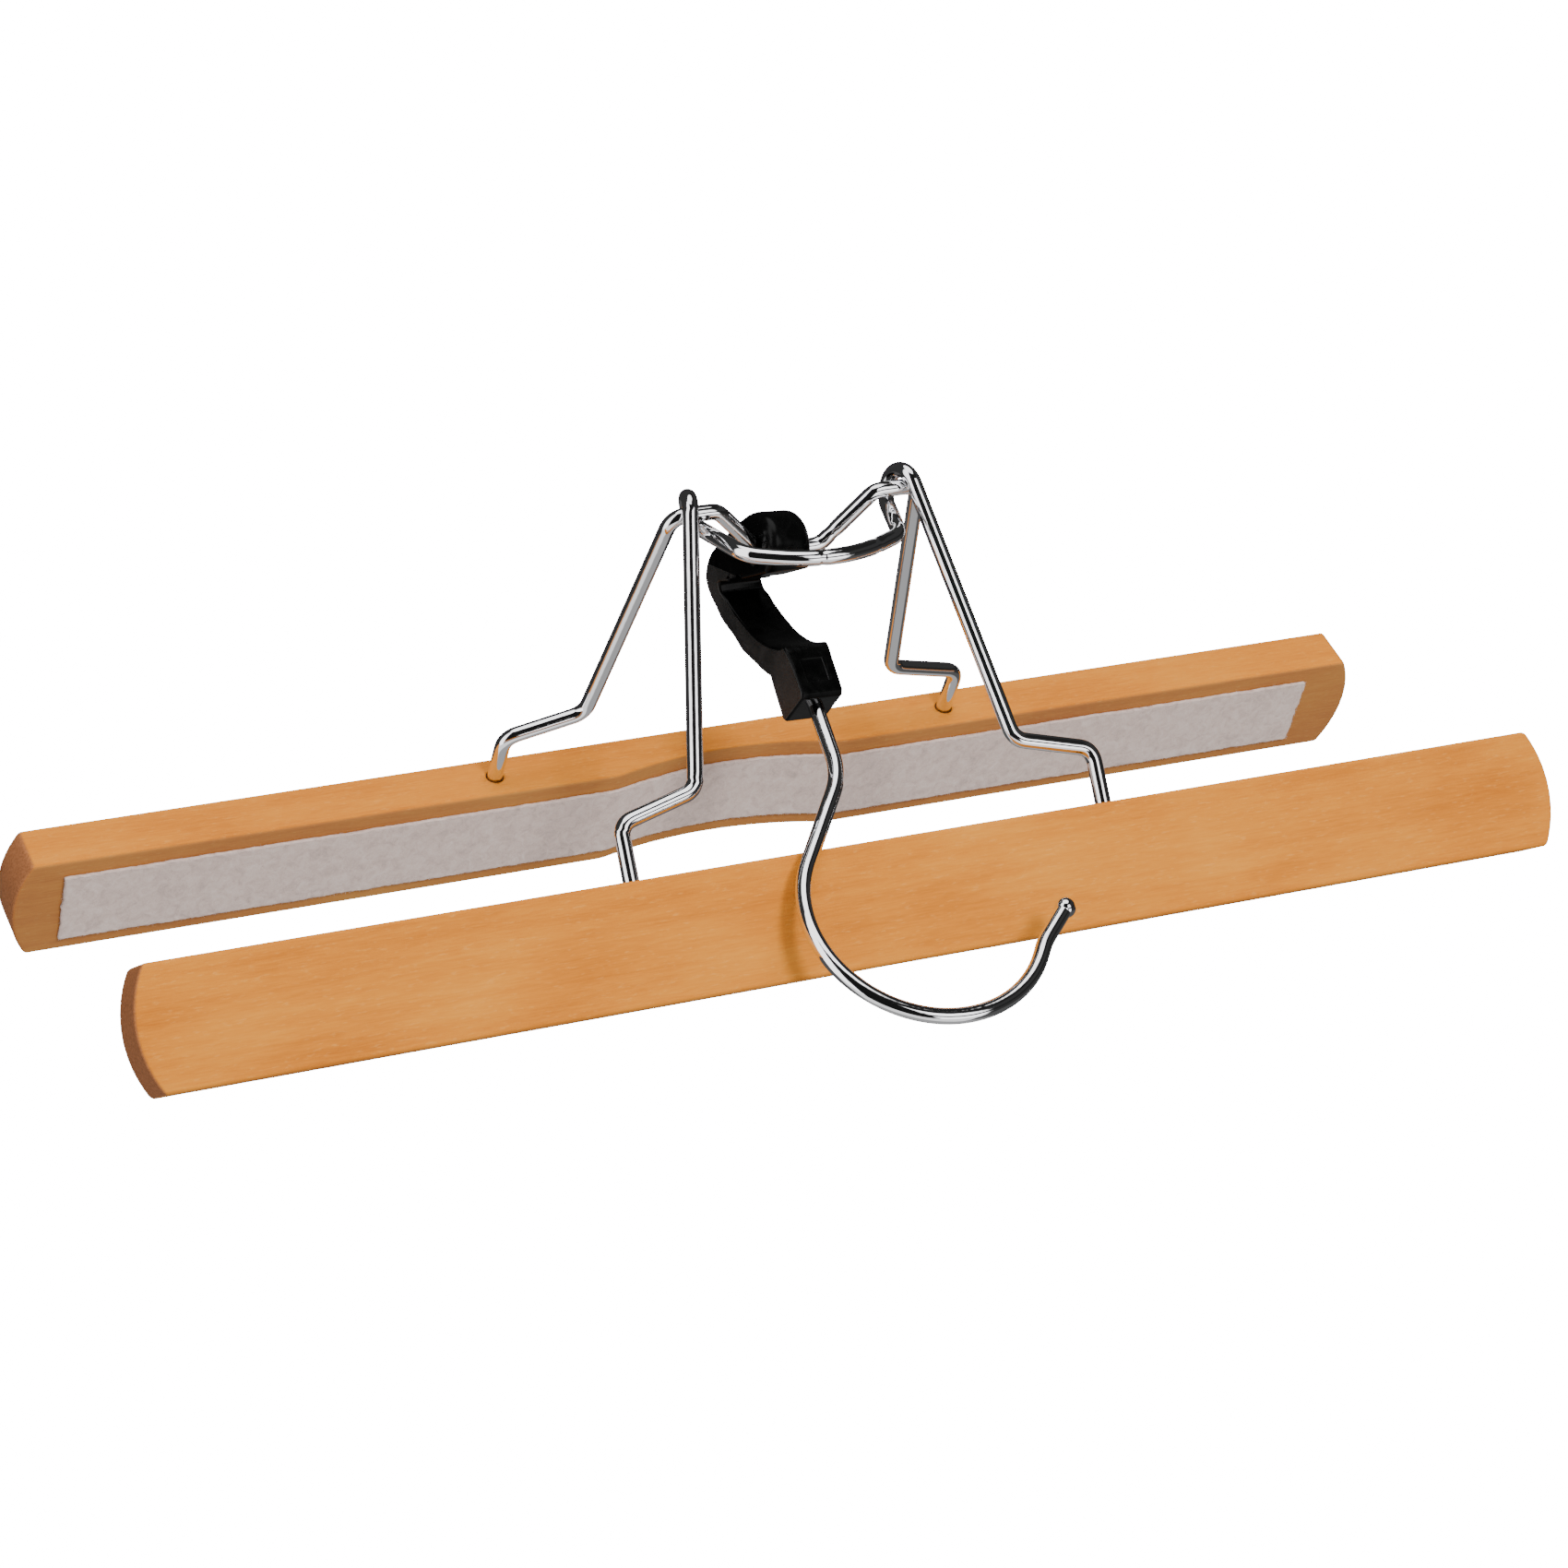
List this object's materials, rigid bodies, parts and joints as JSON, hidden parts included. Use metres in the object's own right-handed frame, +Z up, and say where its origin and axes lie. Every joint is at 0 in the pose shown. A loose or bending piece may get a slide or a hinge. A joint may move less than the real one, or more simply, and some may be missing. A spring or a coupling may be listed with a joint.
{
  "type": "trouser hanger",
  "caption": "Wooden clamp hanger for trousers: felt-lined bars on hinged chromed wire frames, closed by a plastic clip that carries a wire hook.",
  "frame": {"origin": "on the surface the open hanger stands on, below the middle of its box", "axes": "+X along the bars, -Y towards the side the lowered hook points to, +Z up"},
  "size_m": [0.38, 0.1552, 0.1108],
  "materials": {
    "wood": "satin clear lacquer",
    "felt": "pressed wool felt",
    "chrome": "bright plated spring wire",
    "black_plastic": "moulded, gloss"
  },
  "bodies": {
    "back_arm": {"back_bar": "wood", "back_felt": "felt", "back_wire": "chrome"},
    "front_arm": {"front_bar": "wood", "front_felt": "felt", "front_wire": "chrome"},
    "clip_lever": {"clip": "black_plastic", "hook": "chrome"}
  },
  "joints": [
    {"name": "arm_hinge", "type": "hinge", "parent": "back_arm", "child": "front_arm", "pos_m": [0, 0.01682, 0.10441], "axis": [1, 0, 0], "range_deg": [0, 48]},
    {"name": "clip_pivot", "type": "hinge", "parent": "back_arm", "child": "clip_lever", "pos_m": [-0.004, 0.02031, 0.09137], "axis": [-1, 0, 0], "range_deg": [0, 96]}
  ],
  "couplings": [
    {"joint": "clip_pivot", "follows": "arm_hinge", "ratio": 2}
  ]
}
